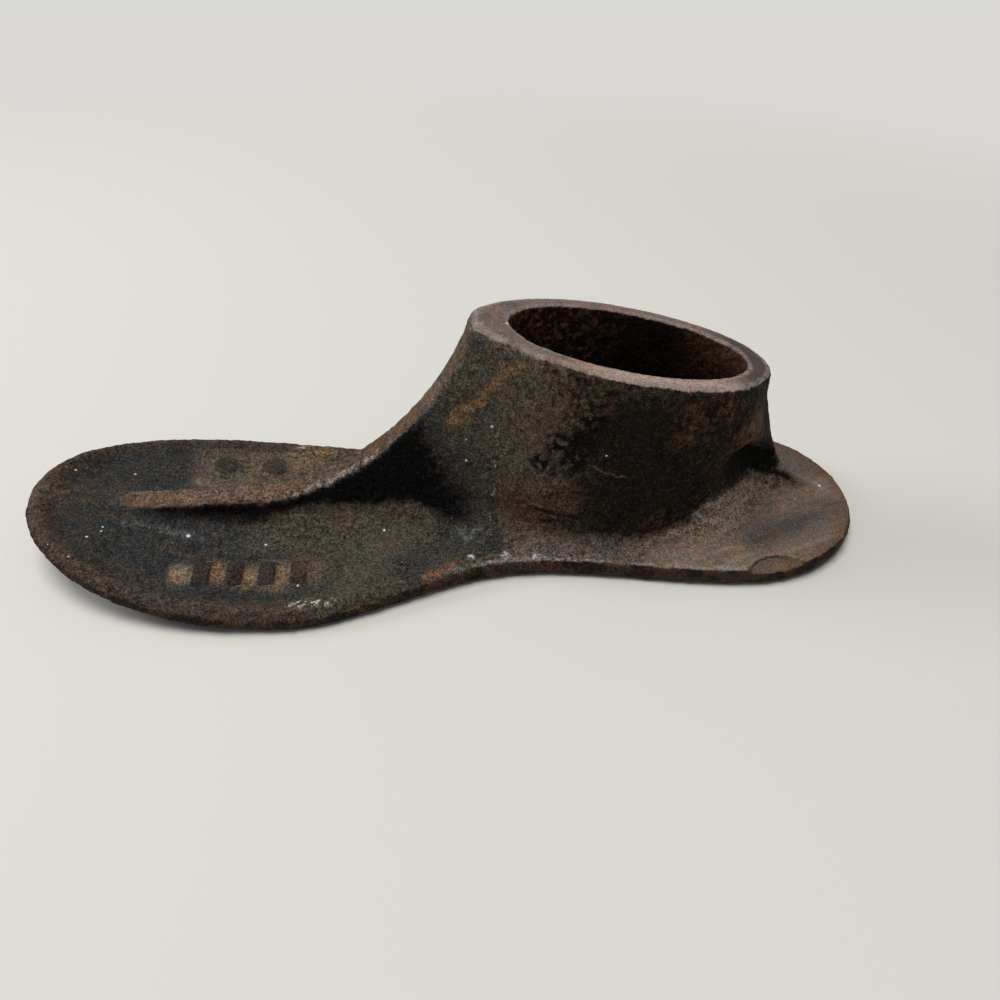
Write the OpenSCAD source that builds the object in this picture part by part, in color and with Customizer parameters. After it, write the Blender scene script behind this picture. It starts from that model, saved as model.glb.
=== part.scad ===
// Iron shoe last for a cobbler's stand, lying sole down: a sprung sole plate with a raised toe rim, an
// instep rib, an oval socket for the stand's post and a heel rib with a hollow on each side. X runs from toe
// to heel, the outer side is -Y and Z is up.

/* [Sole] */
// Length from toe to heel
last_l = 200; // [185:1:230]
// Half width at the ball on the outer side
ball_out = 36.5; // [33:0.5:42]
// Half width at the ball on the inner side
ball_in = 33; // [30:0.5:38]
// Distance from the toe to the outer ball
ball_out_x = 58.5; // [52:0.5:64]
// Distance from the toe to the inner ball
ball_in_x = 43; // [38:0.5:50]
// Half width at the waist on the outer side
waist_out = 23; // [22:0.2:26]
// Half width at the waist on the inner side
waist_in = 22; // [21.6:0.2:26]
// Distance from the heel to the waist
waist_x = 89; // [82:1:96]
// Half width of the heel on the outer side
heel_out = 30.7; // [27:0.1:34]
// Half width of the heel on the inner side
heel_in = 30.9; // [27:0.1:34]
// Distance from the heel to its widest place
heel_x = 32.5; // [28:0.5:40]
// Offset of the toe point to the inner side
toe_shift = 1.5; // [0:0.5:4]
// Offset of the heel point to the inner side
heel_shift = 1; // [0:0.5:3]
// Thickness of the sole at its edge
edge_t = 5; // [4.2:0.1:7]
// Thickness of the sole in the forepart's hollow
dish_t = 3.6; // [3:0.1:4]
// Length over which the hollow runs out towards the waist
dish_run = 36; // [28:1:44]
// Height of the toe's underside above the ground
toe_spring = 10; // [4:0.5:14]
// Length of the forepart that lifts off the ground
spring_l = 63; // [45:1:70]
// Rounding of the sole's lower edge
under_r = 2.2; // [0.6:0.1:3]
// Rounding of the sole's upper edge
over_r = 1.4; // [0.4:0.1:1.6]
// Width of the rim round the forepart
rim_w = 7.5; // [6:0.5:8]

/* [Socket] */
// Distance from the heel to the socket's back
socket_back = 29; // [27:0.5:36]
// Length of the socket outside
socket_l = 69.6; // [64:0.2:72]
// Width of the socket outside
socket_w = 39.8; // [36:0.2:42]
// Distance from the socket's front to its widest place
socket_mid = 34.5; // [30:0.5:38]
// Height of the socket at its front
socket_h = 55.6; // [46:0.2:66]
// Fall of the socket's rim over each millimetre of its length
rim_fall = 0.19; // [0.1:0.01:0.24]
// Thickness of the wall at the sides
side_wall = 5; // [4:0.1:7]
// Thickness of the wall at the front
front_wall = 8.4; // [7.4:0.1:11]
// Thickness of the wall at the back
back_wall = 5.6; // [5.4:0.1:8]
// Draft of the bore on each side, from mouth to floor
bore_draft = 1; // [0:0.1:2]
// Height of the fillet round the foot
foot_r = 8; // [5:0.5:11]
// Height of the fillet at the socket's back
cove_h = 16; // [12:0.5:18]
// Length over which the fillet grows towards the back
cove_l = 22; // [16:0.5:28]
// Rounding of the rim's outer edge
rim_r = 1.4; // [0.8:0.1:1.8]
// Rounding of the mouth
mouth_r = 0.6; // [0.3:0.1:1]

/* [Ribs] */
// Width of the instep rib's crest
crest_w = 7.4; // [6:0.2:8.4]
// Rounding of the crest's edges
crest_r = 2.2; // [1.4:0.1:2.6]
// Height of the crest over the ball
crest_h = 11; // [9:0.2:14]
// Length of the rising instep in front of the socket
instep_l = 49.5; // [40:0.5:56]
// Reach of the instep rib's fillet on each side
rib_spread = 11; // [6:0.5:14]
// Rounding where the crest runs over into the socket's rim
brow_r = 2.6; // [1:0.2:3.4]
// Bend of the crest to the inner side at the toe
crest_bend = 5; // [0:0.5:6]
// Width of the heel rib
heel_rib_w = 5; // [4:0.2:7]
// Length of the heel rib behind the socket
heel_rib_l = 21; // [16:0.5:24]
// Reach of the fillet at the heel rib's thin end
heel_spread = 4; // [2:0.5:7]
// Height of the middle of the hollows beside the heel rib, at the socket's back
hollow_h = 22; // [20:0.5:24]
// Size of the hollows from their middle up and down
hollow_r = 5.5; // [4:0.5:7]
// Fall of the hollows towards the heel over each millimetre of their length
hollow_fall = 0.8; // [0.6:0.1:1.4]
// Depth of the hollows in the socket's back corners
hollow_cut = 6; // [3:0.2:6.6]

/* [Marks] */
// Height of the raised marks
mark_h = 0.9; // [0.5:0.1:1.5]
// Number of bars on the outer side
bar_count = 5; // [2:1:6]
// Width of a bar
bar_w = 4.2; // [3:0.2:4.8]
// Length of a bar
bar_l = 8.4; // [6:0.2:9]
// Distance between the bars
bar_pitch = 7; // [5.4:0.2:7.4]
// Distance from the toe to the middle of the bars
bars_x = 54; // [50:1:58]
// Distance of the bars from the crest's line
bars_y = 21.5; // [21:0.5:22.5]
// Diameter of a round pip on the inner side
pip_d = 7; // [5:0.2:8]
// Distance between the pips
pip_pitch = 12; // [10:0.5:16]
// Distance from the toe to the middle of the pips
pips_x = 47; // [42:1:54]
// Distance of the pips from the crest's line
pips_y = 20; // [19:0.5:21]

/* [Hidden] */

// Steps along and around the pieces
plate_steps = 44;
edge_steps = 4;
rim_steps = 30;
lip_steps = 8;
fore_steps = 22;
rise_steps = 26;
nose_steps = 5;
wall_steps = 30;
fillet_steps = 8;
flank_steps = 10;
round_steps = 3;
pip_steps = 10;

// Roundness of the toe, of the ribs' rising curves and of the oval's front and back, where 2 is an ellipse
toe_n = 2.1;
rise_n = 1.66;
front_n = 1.8;
back_n = 2.15;
ellipse_n = 2;
// How hollow the ribs' flanks are at the rim, at the foot and over the hollows, where 1 is straight
flank_top = 0.9;
flank_foot = 1.8;
flank_roof = 0.6;
// Largest shares of a rib's height that its fillet and its rounding take, and its fillet's reach per height
fillet_share = 0.65;
round_share = 0.3;
reach_share = 3;
// Largest shares of the sole's thickness that its lower and upper roundings take
under_share = 0.6;
over_share = 0.3;
// Share of the rim's width that rises from the edge to its top
lip_share = 0.2;
// Share of the hollow's run-out that the rim stops short of the socket
rim_share = 0.25;
// Width of the flat at the points of toe and heel
point_w = 1.2;
// Distance behind the oval's ends where the wall takes over from the ribs
nose_l = 5;
// Land that stays bare between a foot and the edge beside it
foot_land = 1.2;
// Height above the socket's rim where the instep's curve would end
over_rise = 3;
// Heights of the ribs' thin ends, at the toe and at the heel
fade_h = 0.2;
tail_h = 0.8;
// Height over which the hollows ease in, and lengths over which they and the socket's fillet run out
hollow_ease = 3.5;
hollow_run = 9;
cove_run = 16;
// Bevel round the marks
mark_bevel = 0.6;

toe_end = -last_l / 2;
heel_end = last_l / 2;
// The frame's middle is halfway across the ball, beside the crest's line
middle_y = (ball_out - ball_in) / 2;
socket_x1 = heel_end - socket_back;
socket_x0 = socket_x1 - socket_l;
socket_xm = socket_x0 + socket_mid;
front_x = socket_x0 + nose_l;
back_x = socket_x1 - nose_l;
bore_l = socket_l - front_wall - back_wall;
bore_w = socket_w - 2 * side_wall;
bore_xm = socket_x0 + front_wall + bore_l / 2;
instep_x = socket_x0 - instep_l;
heel_rib_x = socket_x1 + heel_rib_l;
rib_end = toe_end + rim_w + foot_land;
dish_end = socket_x0 - dish_run;
rim_end = socket_x0 - dish_run * rim_share;

function mix(a, b, u) = a + (b - a) * u;
function limit(u) = min(1, max(0, u));
function ease(u) = let (v = limit(u)) v * v * (3 - 2 * v);
// Quarter of a superellipse that starts upright at 0 and ends level at 1
function bow(u, n) = pow(1 - pow(1 - limit(u), n), 1 / n);

// Half width of one side of the sole, from the toe's point over ball, waist and heel to the heel's point
function side_y(x, ball, ball_x, waist, heel, toe_y, heel_y) =
    let (xb = toe_end + ball_x, xw = heel_end - waist_x, xh = heel_end - heel_x)
    x < xb ? mix(toe_y, ball, bow((x - toe_end) / ball_x, toe_n)) :
    x < xw ? mix(ball, waist, ease((x - xb) / (xw - xb))) :
    x < xh ? mix(waist, heel, ease((x - xw) / (xh - xw))) :
             mix(heel_y, heel, bow((heel_end - x) / heel_x, ellipse_n));
function outer_y(x) =
    -side_y(x, ball_out, ball_out_x, waist_out, heel_out, point_w / 2 - toe_shift, point_w / 2 - heel_shift);
function inner_y(x) =
    side_y(x, ball_in, ball_in_x, waist_in, heel_in, point_w / 2 + toe_shift, point_w / 2 + heel_shift);

// Underside and top of the sole
function under_z(x) = toe_spring * pow(max(0, (toe_end + spring_l - x) / spring_l), 2);
function plate_t(x) = mix(dish_t, edge_t, ease((x - dish_end) / dish_run));
function plate_z(x) = under_z(x) + plate_t(x);

// Socket: half width of its oval, height of its rim, and height and reach of the fillet round its foot
function oval_y(x) =
    socket_w / 2 * (x < socket_xm ? bow((x - socket_x0) / socket_mid, front_n)
                                  : bow((socket_x1 - x) / (socket_l - socket_mid), back_n));
function rim_z(x) = socket_h - rim_fall * (x - socket_x0);
function foot_h(x) = mix(foot_r, cove_h, ease((x - back_x + cove_l) / cove_l));
function foot_reach(x) =
    max(foot_land / 2, min(foot_h(x), min(inner_y(x), -outer_y(x)) - oval_y(x) - foot_land));

// Hollows beside the heel rib: the height of their middle, how far open and how deep they are at a place, and
// the half width of the wall that they cut into
function hollow_z(x) = max(edge_t + hollow_r, hollow_h - hollow_fall * max(0, x - back_x));
function hollow(x, z) = ease((hollow_r - abs(z - hollow_z(x))) / hollow_ease);
function hollow_depth(x) =
    x < back_x ? hollow_cut * ease((x - back_x + hollow_run) / hollow_run)
               : mix(hollow_cut, oval_y(back_x), limit((x - back_x) / nose_l));
function wall_y(x, z) = oval_y(x) - hollow_depth(x) * hollow(x, z);

// Triangles between rings of m points, and between the last ring and the first
function skin(n, m, closed = false) =
    [for (i = [0 : closed ? n - 1 : n - 2], j = [0 : m - 1])
        let (a = i * m, b = (i + 1) % n * m, k = (j + 1) % m)
            each [[a + j, a + k, b + k], [a + j, b + k, b + j]]];
// End of a ring whose second half mirrors its first
function paired_end(s, m, turn) =
    [for (k = [0 : m / 2 - 2])
        let (a = s + k, b = s + k + 1, c = s + m - 2 - k, d = s + m - 1 - k)
            each turn ? [[a, d, c], [a, c, b]] : [[a, b, c], [a, c, d]]];
// End of a ring that its first point sees whole
function fan_end(s, m, turn) =
    [for (k = [1 : m - 2]) turn ? [s, s + k + 1, s + k] : [s, s + k, s + k + 1]];

module loft(rings) {
    n = len(rings);
    m = len(rings[0]);
    polyhedron([for (r = rings) each r],
               concat(skin(n, m), paired_end(0, m, true), paired_end((n - 1) * m, m, false)));
}

// Ring across x from levels of [half width, height], mirrored about y
function cross_ring(x, y, levels) =
    concat([for (l = levels) [x, y - l[0], l[1]]],
           [for (k = [len(levels) - 1 : -1 : 0]) [x, y + levels[k][0], levels[k][1]]]);

// Levels of a wall that stands from z0 to z1: a fillet of the given height and reach at its foot, the flank
// whose half width at a height is wide(z), and a top rounded by the given radius
function wall_levels(z0, z1, tall, reach, top_r, wide) =
    let (h = min(tall, (z1 - z0) * fillet_share), r = min(top_r, (z1 - z0) * round_share),
         w = min(reach, (z1 - z0) * reach_share))
    concat(
        [for (k = [0 : fillet_steps])
            let (t = 90 * k / fillet_steps, z = z0 + h * (1 - cos(t))) [wide(z) + w * (1 - sin(t)), z]],
        [for (k = [1 : flank_steps]) let (z = mix(z0 + h, z1 - r, k / flank_steps)) [wide(z), z]],
        [for (k = [1 : round_steps])
            let (t = 90 * k / round_steps) [wide(z1 - r) - r * (1 - cos(t)), z1 - r * (1 - sin(t))]]);

// Hollow of a rib's flank at a height, from straight at the rim to deep at the foot
function flank_n(z) = mix(flank_foot, flank_top, limit((z - edge_t) / (socket_h - edge_t)));

// Instep rib: its crest's line, height, place and rounding, the half width of its flank and the reach of its
// fillet
crest_top = socket_h + over_rise;
crest_foot = crest_h + under_z(instep_x);
function crest_y(x) = crest_bend * pow(max(0, instep_x - x) / (instep_x - toe_end), 2);
function fore_z(x) =
    under_z(x) + mix(crest_h, dish_t + fade_h, ease((instep_x - x) / (instep_x - rib_end)));
function rise_z(x) =
    mix(crest_top, crest_foot, pow(1 - pow(limit((x - instep_x) / instep_l), rise_n), 1 / rise_n));
function crest_x(z) =
    instep_x + instep_l * pow(1 - pow(limit((crest_top - z) / (crest_top - crest_foot)), rise_n), 1 / rise_n);
brow_x = crest_x(socket_h - brow_r);
function brow_z(x) = rim_z(x) - brow_r * (1 - bow((x - brow_x) / brow_r, ellipse_n));
function crest_z(x) = x < instep_x ? fore_z(x) : x < brow_x ? rise_z(x) : brow_z(x);
function crest_round(x) = mix(crest_r, rim_r, ease((x - instep_x) / instep_l));
function instep_y(x, z) =
    let (u = limit((x - crest_x(z)) / (front_x - crest_x(z))))
    max(oval_y(x), mix(crest_w / 2, oval_y(front_x), pow(u, flank_n(z))));
function rib_room(x) =
    min(inner_y(x) - crest_y(x), crest_y(x) - outer_y(x)) - rim_w - foot_land - crest_w / 2;
function rib_reach(x) =
    mix(min(rib_spread, rib_room(min(x, instep_x))), foot_reach(front_x),
        ease((x - instep_x) / (front_x - instep_x)));
function rib_stations() =
    concat([for (k = [0 : fore_steps - 1]) mix(rib_end, instep_x, k / fore_steps)],
           [for (k = [0 : rise_steps]) instep_x + instep_l * pow(sin(90 * k / rise_steps), 2 / rise_n)],
           [for (k = [1 : nose_steps]) socket_x0 + nose_l * (1 - cos(90 * k / nose_steps))]);

// Heel rib: its crest's height and place, the half width of its flank with the hollows in it, and the height
// and reach of its fillet, which carries on from the socket's
tail_z = edge_t + tail_h;
function heel_z(x) =
    x < socket_x1 ? rim_z(x) :
    mix(rim_z(socket_x1), tail_z, pow(1 - pow(limit((heel_rib_x - x) / heel_rib_l), rise_n), 1 / rise_n));
function heel_crest_x(z) =
    let (v = limit((rim_z(socket_x1) - z) / (rim_z(socket_x1) - tail_z)))
    heel_rib_x - heel_rib_l * pow(1 - pow(v, rise_n), 1 / rise_n);
roof_z = hollow_h + hollow_r;
function heel_flank_n(z) =
    z < roof_z ? mix(flank_foot, flank_roof, limit((z - edge_t) / (roof_z - edge_t)))
               : mix(flank_roof, flank_foot, (z - roof_z) / (rim_z(back_x) - roof_z));
function heel_y(x, z) =
    let (u = limit((heel_crest_x(z) - x) / (heel_crest_x(z) - back_x)),
         full = max(oval_y(x), mix(heel_rib_w / 2, oval_y(back_x), pow(u, heel_flank_n(z)))))
    max(heel_rib_w / 2, full - hollow_depth(x) * hollow(x, z));
function heel_ease(x) = ease((x - back_x) / cove_run);
function heel_foot(x) = mix(foot_h(back_x), heel_spread, heel_ease(x));
function heel_reach(x) = mix(foot_reach(back_x), heel_spread, heel_ease(x));
function heel_stations() =
    concat([for (k = [0 : nose_steps - 1]) back_x + nose_l * sin(90 * k / nose_steps)],
           [for (k = [0 : rise_steps]) heel_rib_x - heel_rib_l * pow(cos(90 * k / rise_steps), 2 / rise_n)]);

// Sole plate over the given stations, built up in layers whose edge is rounded below and above. The joint
// between the plates stays square: there the edge moves in across X alone.
function edge_line(stations) =
    concat([for (x = stations) [x, inner_y(x)]],
           [for (k = [len(stations) - 1 : -1 : 0]) [stations[k], outer_y(stations[k])]]);
function edge_in(line, k) =
    let (n = len(line), d = line[(k + 1) % n] - line[(k + n - 1) % n])
    line[k][0] == socket_x0 ? [0, -sign(line[k][1])] : [d[1], -d[0]] / norm(d);
function edge_layer(line, inset, z) =
    [for (k = [0 : len(line) - 1])
        let (p = line[k] + inset(line[k][0]) * edge_in(line, k)) [p[0], p[1], under_z(p[0]) + z(p[0])]];
function low_r(x) = min(under_r, plate_t(x) * under_share);
function high_r(x) = min(over_r, plate_t(x) * over_share);

module plate(stations) {
    line = edge_line(stations);
    layers = concat(
        [for (k = [0 : edge_steps])
            let (t = 90 * k / edge_steps)
                edge_layer(line, function (x) low_r(x) * (1 - sin(t)), function (x) low_r(x) * (1 - cos(t)))],
        [for (k = [0 : edge_steps])
            let (t = 90 * k / edge_steps)
                edge_layer(line, function (x) high_r(x) * (1 - cos(t)),
                           function (x) plate_t(x) - high_r(x) * (1 - sin(t)))]);
    loft(layers);
}

module forepart_plate() {
    color("#332c29")
        translate([0, middle_y, 0])
            plate([for (k = [0 : plate_steps]) mix(socket_x0, toe_end, cos(90 * k / plate_steps))]);
}

module heel_plate() {
    color("#4a3f38")
        translate([0, middle_y, 0])
            plate([for (k = [0 : plate_steps]) mix(socket_x0, heel_end, sin(90 * k / plate_steps))]);
}

// Rim round the forepart: it rises from the rounded edge and eases inwards into the hollow
rim_line = concat(
    [for (k = [rim_steps : -1 : 0]) let (x = mix(rim_end, toe_end, cos(90 * k / rim_steps))) [x, inner_y(x)]],
    [for (k = [0 : rim_steps]) let (x = mix(rim_end, toe_end, cos(90 * k / rim_steps))) [x, outer_y(x)]]);
function rim_in(k) =
    let (a = rim_line[max(0, k - 1)], b = rim_line[min(len(rim_line) - 1, k + 1)], d = b - a)
    [-d[1], d[0]] / norm(d);
function rim_point(k, inset, rise) =
    let (p = rim_line[k] + (high_r(rim_line[k][0]) + inset) * rim_in(k))
    [p[0], p[1], plate_z(p[0]) + rise * (edge_t - plate_t(p[0]))];
function lip_rise(u) =
    u < lip_share ? bow(u / lip_share, ellipse_n) : (1 + cos(180 * (u - lip_share) / (1 - lip_share))) / 2;
function rim_ring(k) =
    [for (j = [0 : lip_steps]) rim_point(k, (rim_w - over_r) * j / lip_steps, lip_rise(j / lip_steps))];

module toe_rim() {
    n = len(rim_line);
    m = lip_steps + 1;
    color("#3d322c")
        translate([0, middle_y, 0])
            polyhedron([for (k = [0 : n - 1]) each rim_ring(k)],
                       concat(skin(n, m), fan_end(0, m, true), fan_end((n - 1) * m, m, false)));
}

module instep_rib() {
    color("#54402f")
        translate([0, middle_y, 0])
            loft([for (x = rib_stations())
                cross_ring(x, crest_y(x), wall_levels(plate_z(x), crest_z(x), foot_r, rib_reach(x),
                                                      crest_round(x), function (z) instep_y(x, z)))]);
}

// Ring round the socket's wall at one station: up the outside, over the rim and down the bore. The bore is an
// ellipse, which out widens at the mouth's rounding and narrows at the floor.
function bore_point(a, side, out, z) =
    [bore_xm - (bore_l / 2 + out) * cos(a), side * (bore_w / 2 + out) * sin(a), z];
function bore_rim(a, side, out, drop) =
    let (p = bore_point(a, side, out, 0)) [p[0], p[1], rim_z(p[0]) - drop];
function wall_ring(k, side) =
    let (x = mix(front_x, back_x, (1 - cos(180 * k / wall_steps)) / 2),
         a = 180 * (k + 0.5) / (wall_steps + 1),
         levels = wall_levels(edge_t, rim_z(x), foot_h(x), foot_reach(x), rim_r, function (z) wall_y(x, z)))
    concat([for (l = levels) [x, side * l[0], l[1]]],
           [for (j = [0 : round_steps])
               let (t = 90 * j / round_steps)
                   bore_rim(a, side, mouth_r * (1 - sin(t)), mouth_r * (1 - cos(t)))],
           [bore_point(a, side, -bore_draft, edge_t)]);

module socket_wall() {
    rings = concat([for (k = [0 : wall_steps]) wall_ring(k, -1)],
                   [for (k = [wall_steps : -1 : 0]) wall_ring(k, 1)]);
    color("#3a2c27")
        translate([0, middle_y, 0])
            polyhedron([for (r = rings) each r], skin(len(rings), len(rings[0]), true));
}

module heel_rib() {
    color("#4b3a31")
        translate([0, middle_y, 0])
            loft([for (x = heel_stations())
                cross_ring(x, 0, wall_levels(edge_t, heel_z(x), heel_foot(x), heel_reach(x), rim_r,
                                             function (z) heel_y(x, z)))]);
}

// Raised mark on the forepart: a low pad round the point x, y with half widths along its length
module raised_mark(y, stations) {
    loft([for (s = stations)
        cross_ring(s[0], y, [[s[1], plate_z(s[0])], [s[1] - mark_bevel, plate_z(s[0]) + s[2]]])]);
}

module outer_marks() {
    color("#6b563f")
        translate([0, middle_y, 0])
            for (k = [0 : bar_count - 1]) {
                x = toe_end + bars_x + (k - (bar_count - 1) / 2) * bar_pitch;
                w = bar_w / 2;
                raised_mark(-bars_y, [[x - w, bar_l / 2, mark_bevel / 2],
                                      [x - w + mark_bevel, bar_l / 2, mark_h],
                                      [x + w - mark_bevel, bar_l / 2, mark_h],
                                      [x + w, bar_l / 2, mark_bevel / 2]]);
            }
}

module inner_marks() {
    color("#6b563f")
        translate([0, middle_y, 0])
            for (side = [-1, 1]) {
                x = toe_end + pips_x + side * pip_pitch / 2;
                raised_mark(pips_y, [for (k = [1 : pip_steps])
                    let (t = 180 * k / (pip_steps + 1))
                        [x - pip_d / 2 * cos(t), pip_d / 2 * sin(t) + mark_bevel, mark_h * sqrt(sin(t))]]);
            }
}

forepart_plate();
heel_plate();
toe_rim();
instep_rib();
socket_wall();
heel_rib();
outer_marks();
inner_marks();
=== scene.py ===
import math

import bmesh
import bpy
import numpy as np
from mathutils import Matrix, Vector, kdtree


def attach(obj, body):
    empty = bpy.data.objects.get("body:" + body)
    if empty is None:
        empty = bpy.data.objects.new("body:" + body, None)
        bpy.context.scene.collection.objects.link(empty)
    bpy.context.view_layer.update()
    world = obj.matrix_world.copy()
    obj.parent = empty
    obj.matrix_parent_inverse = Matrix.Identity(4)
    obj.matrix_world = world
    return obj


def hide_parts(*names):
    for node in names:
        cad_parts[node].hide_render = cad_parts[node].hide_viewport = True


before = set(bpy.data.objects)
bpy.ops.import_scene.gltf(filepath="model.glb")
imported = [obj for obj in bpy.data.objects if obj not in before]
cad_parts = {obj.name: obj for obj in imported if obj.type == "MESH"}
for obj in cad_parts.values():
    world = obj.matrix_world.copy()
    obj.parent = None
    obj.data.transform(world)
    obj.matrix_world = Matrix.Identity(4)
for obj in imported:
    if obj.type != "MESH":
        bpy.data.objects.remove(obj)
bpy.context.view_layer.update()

MM = 0.001

# The casting's skin, in metres and passes
WELD = 0.001 * MM
SKIN_STEP = 0.45 * MM
SAND_PASSES = 6
SAND_FACTOR = 0.5
BROAD_PASSES = 90
SOFT_PASSES = 130

# Sole plate, as in the source; from here on all lengths are in millimetres unless MM stands beside them
TOE_X = -100
PLATE_JOINT_X = 1.4
SPRING_L = 63
TOE_SPRING = 10
DISH_T = 3.6
EDGE_T = 5
DISH_RUN = 36

# Instep crest and socket, as in the source
MIDDLE_Y = 1.75
INSTEP_X = -48.1
CREST_BEND = 5
SOCKET_FRONT_X = 6.4
SOCKET_BACK_X = 66
BORE_MIDDLE = (37.6, MIDDLE_Y)
BORE_HALF = (27.8, 14.9)
RIM_LIFT = 32

# Parting of the skin: height above the plate, distance that snaps to the cut, and where the marks begin
SEAM_LIFT = 0.5
SNAP = 0.0001
MARKS_FROM_Y = 12

# Places where the casting is rounder than its drawing: middle, reach and how far it is eased
SOFT_PLACES = (
    ((68, -7, 18), 11, 0.9),
    ((68, 10.5, 18), 11, 0.9),
    ((1, MIDDLE_Y, 53), 7, 0.8),
    ((4, -4, 53), 8, 0.8),
    ((10, -9.5, 53), 7, 0.7),
    ((-90, 5.5, 12), 9, 0.9),
)
SOFT_EDGE = 1.6

# Rough face of the casting: name of each pattern, its size, its depth and its height
ROUGH_LAYERS = (
    ("Uneven face", 14 * MM, 2, 0.45 * MM),
    ("Rust scale", 3.2 * MM, 3, 0.42 * MM),
    ("Sand grain", 1.2 * MM, 2, 0.4 * MM),
)

# Places with a face of their own: where each begins and where it is full, then how rough or soft it is
SIDE_FACING = 0.4
SIDE_LIFT = -1
FACING_UP = (0.5, 0.9)
LIP_WIDTH = (8, 6)
LIP_FROM = (-0.8, -0.2)
LIP_TO = (3, 2)
HEEL_FROM_X = (45, 60)
HEEL_LIFT = 4
MARK_ROW_NEAR = (11, 14)
MARK_ROW_FAR = (29, 26)
MARK_ROW_START = (-70, -66)
MARK_ROW_END = (-26, -30)
MARK_LIFT = -1
LIP_SOFT = 0.3
RIM_ROUGH = 0.2
HEEL_ROUGH = 0.55
MARK_ROUGH = 0.3

# Chip on the heel's outer edge
CHIP_MIDDLE = (71.9, -33.8)
CHIP_R = 9.7
CHIP_EASE = 0.5
CHIP_STEP = 0.6
CHIP_FALL = 0.09
CHIP_REACH = 2

# Sizes of the finish's cloudy patterns, and how far two of them push an edge about
PATCH_SIZE = 16
BLOTCH_SIZE = 5
MOTTLE_SIZE = 1.7
GRAIN_SIZE = 1.2
FINE_SIZE = 0.42
RAGGED_SIZE = 5
RAGGED_REACH = 6
FRAYED_SIZE = 1.4
FRAYED_REACH = 2.4

# Gloss of the iron and the relief of its grain
SPECULAR = 0.05
LEAST_ROUGHNESS = 0.48
GRAIN_ROUGHNESS = 0.3
RELIEF = 0.7 * MM

# Floor, which runs into the backdrop's colour between two distances, and its half width in metres
FLOOR_HALF = 3
FLOOR_COLOUR = (0.72, 0.70, 0.66, 1)
FLOOR_ROUGHNESS = 0.9
FLOOR_FADE = (180, 550)
BACKDROP = (0.70, 0.69, 0.66, 1)
SKY_COLOUR = (0.9, 0.95, 1.0, 1)
SKY_STRENGTH = 0.2

# Camera
CAMERA_AT = (-18.81 * MM, -175.37 * MM, 142.17 * MM)
CAMERA_TURN = (52.6288, -2.2654, -7.351)
CAMERA_LENS = 32.494
CAMERA_SENSOR = 36
CAMERA_CLIP = 10 * MM

CASTING_NODES = ("forepart_plate", "heel_plate", "toe_rim", "instep_rib", "socket_wall", "heel_rib",
                 "outer_marks", "inner_marks")


def new_object(name, mesh):
    piece = bpy.data.objects.new(name, mesh)
    bpy.context.scene.collection.objects.link(piece)
    return piece


def finished_mesh(piece):
    """The piece's mesh with its modifiers applied; the piece itself is removed."""
    graph = bpy.context.evaluated_depsgraph_get()
    mesh = bpy.data.meshes.new_from_object(piece.evaluated_get(graph))
    bpy.data.objects.remove(piece)
    return mesh


def casting_blank():
    """Every feature of the casting, closed by itself, in one mesh."""
    blank = bmesh.new()
    for node in CASTING_NODES:
        feature = bmesh.new()
        feature.from_mesh(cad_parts[node].data)
        bmesh.ops.remove_doubles(feature, verts=feature.verts, dist=WELD)
        welded = bpy.data.meshes.new("Welded feature")
        feature.to_mesh(welded)
        feature.free()
        blank.from_mesh(welded)
        bpy.data.meshes.remove(welded)
    mesh = bpy.data.meshes.new("Casting blank")
    blank.to_mesh(mesh)
    blank.free()
    return mesh


def smooth_skin():
    """One closed skin over all the features, with the small fillets of a sand casting."""
    blank = new_object("Casting blank", casting_blank())
    remesh = blank.modifiers.new("One skin", "REMESH")
    remesh.mode = "VOXEL"
    remesh.voxel_size = SKIN_STEP
    remesh.use_smooth_shade = True
    sand = blank.modifiers.new("Sand", "SMOOTH")
    sand.factor = SAND_FACTOR
    sand.iterations = SAND_PASSES
    return finished_mesh(blank)


def coordinates(mesh):
    """The mesh's points in its own unit."""
    flat = np.zeros(len(mesh.vertices) * 3, np.float32)
    mesh.vertices.foreach_get("co", flat)
    return flat.reshape(-1, 3)


def points_of(mesh):
    """The mesh's points in millimetres."""
    return coordinates(mesh) / MM


def set_points(mesh, points):
    mesh.vertices.foreach_set("co", points.astype(np.float32).ravel())
    mesh.update()


def normals_of(mesh):
    flat = np.zeros(len(mesh.vertices) * 3, np.float32)
    mesh.vertex_normals.foreach_get("vector", flat)
    return flat.reshape(-1, 3)


def roughen(piece, name, size, depth, height):
    """Pushes the piece's face in and out by a cloudy pattern of the given size."""
    texture = bpy.data.textures.new(name, "CLOUDS")
    texture.noise_scale = size
    texture.noise_depth = depth
    push = piece.modifiers.new(name, "DISPLACE")
    push.texture = texture
    push.texture_coords = "LOCAL"
    push.strength = height


def rough_points(skin):
    """The skin's points with the rough face that sand and rust leave."""
    rough = new_object("Rough skin", skin.copy())
    for layer in ROUGH_LAYERS:
        roughen(rough, *layer)
    mesh = finished_mesh(rough)
    points = points_of(mesh)
    bpy.data.meshes.remove(mesh)
    return points


def broad_points(skin, passes):
    """The skin's points with everything small smoothed away."""
    broad = new_object("Broad form", skin.copy())
    ease = broad.modifiers.new("Broad", "SMOOTH")
    ease.factor = SAND_FACTOR
    ease.iterations = passes
    mesh = finished_mesh(broad)
    points = points_of(mesh)
    bpy.data.meshes.remove(mesh)
    return points


def eased(share):
    share = np.clip(share, 0, 1)
    return share * share * (3 - 2 * share)


def ramp(value, start, end):
    """0 at the start, 1 at the end, eased between; an end below the start falls instead."""
    return eased((value - start) / (end - start))


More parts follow.
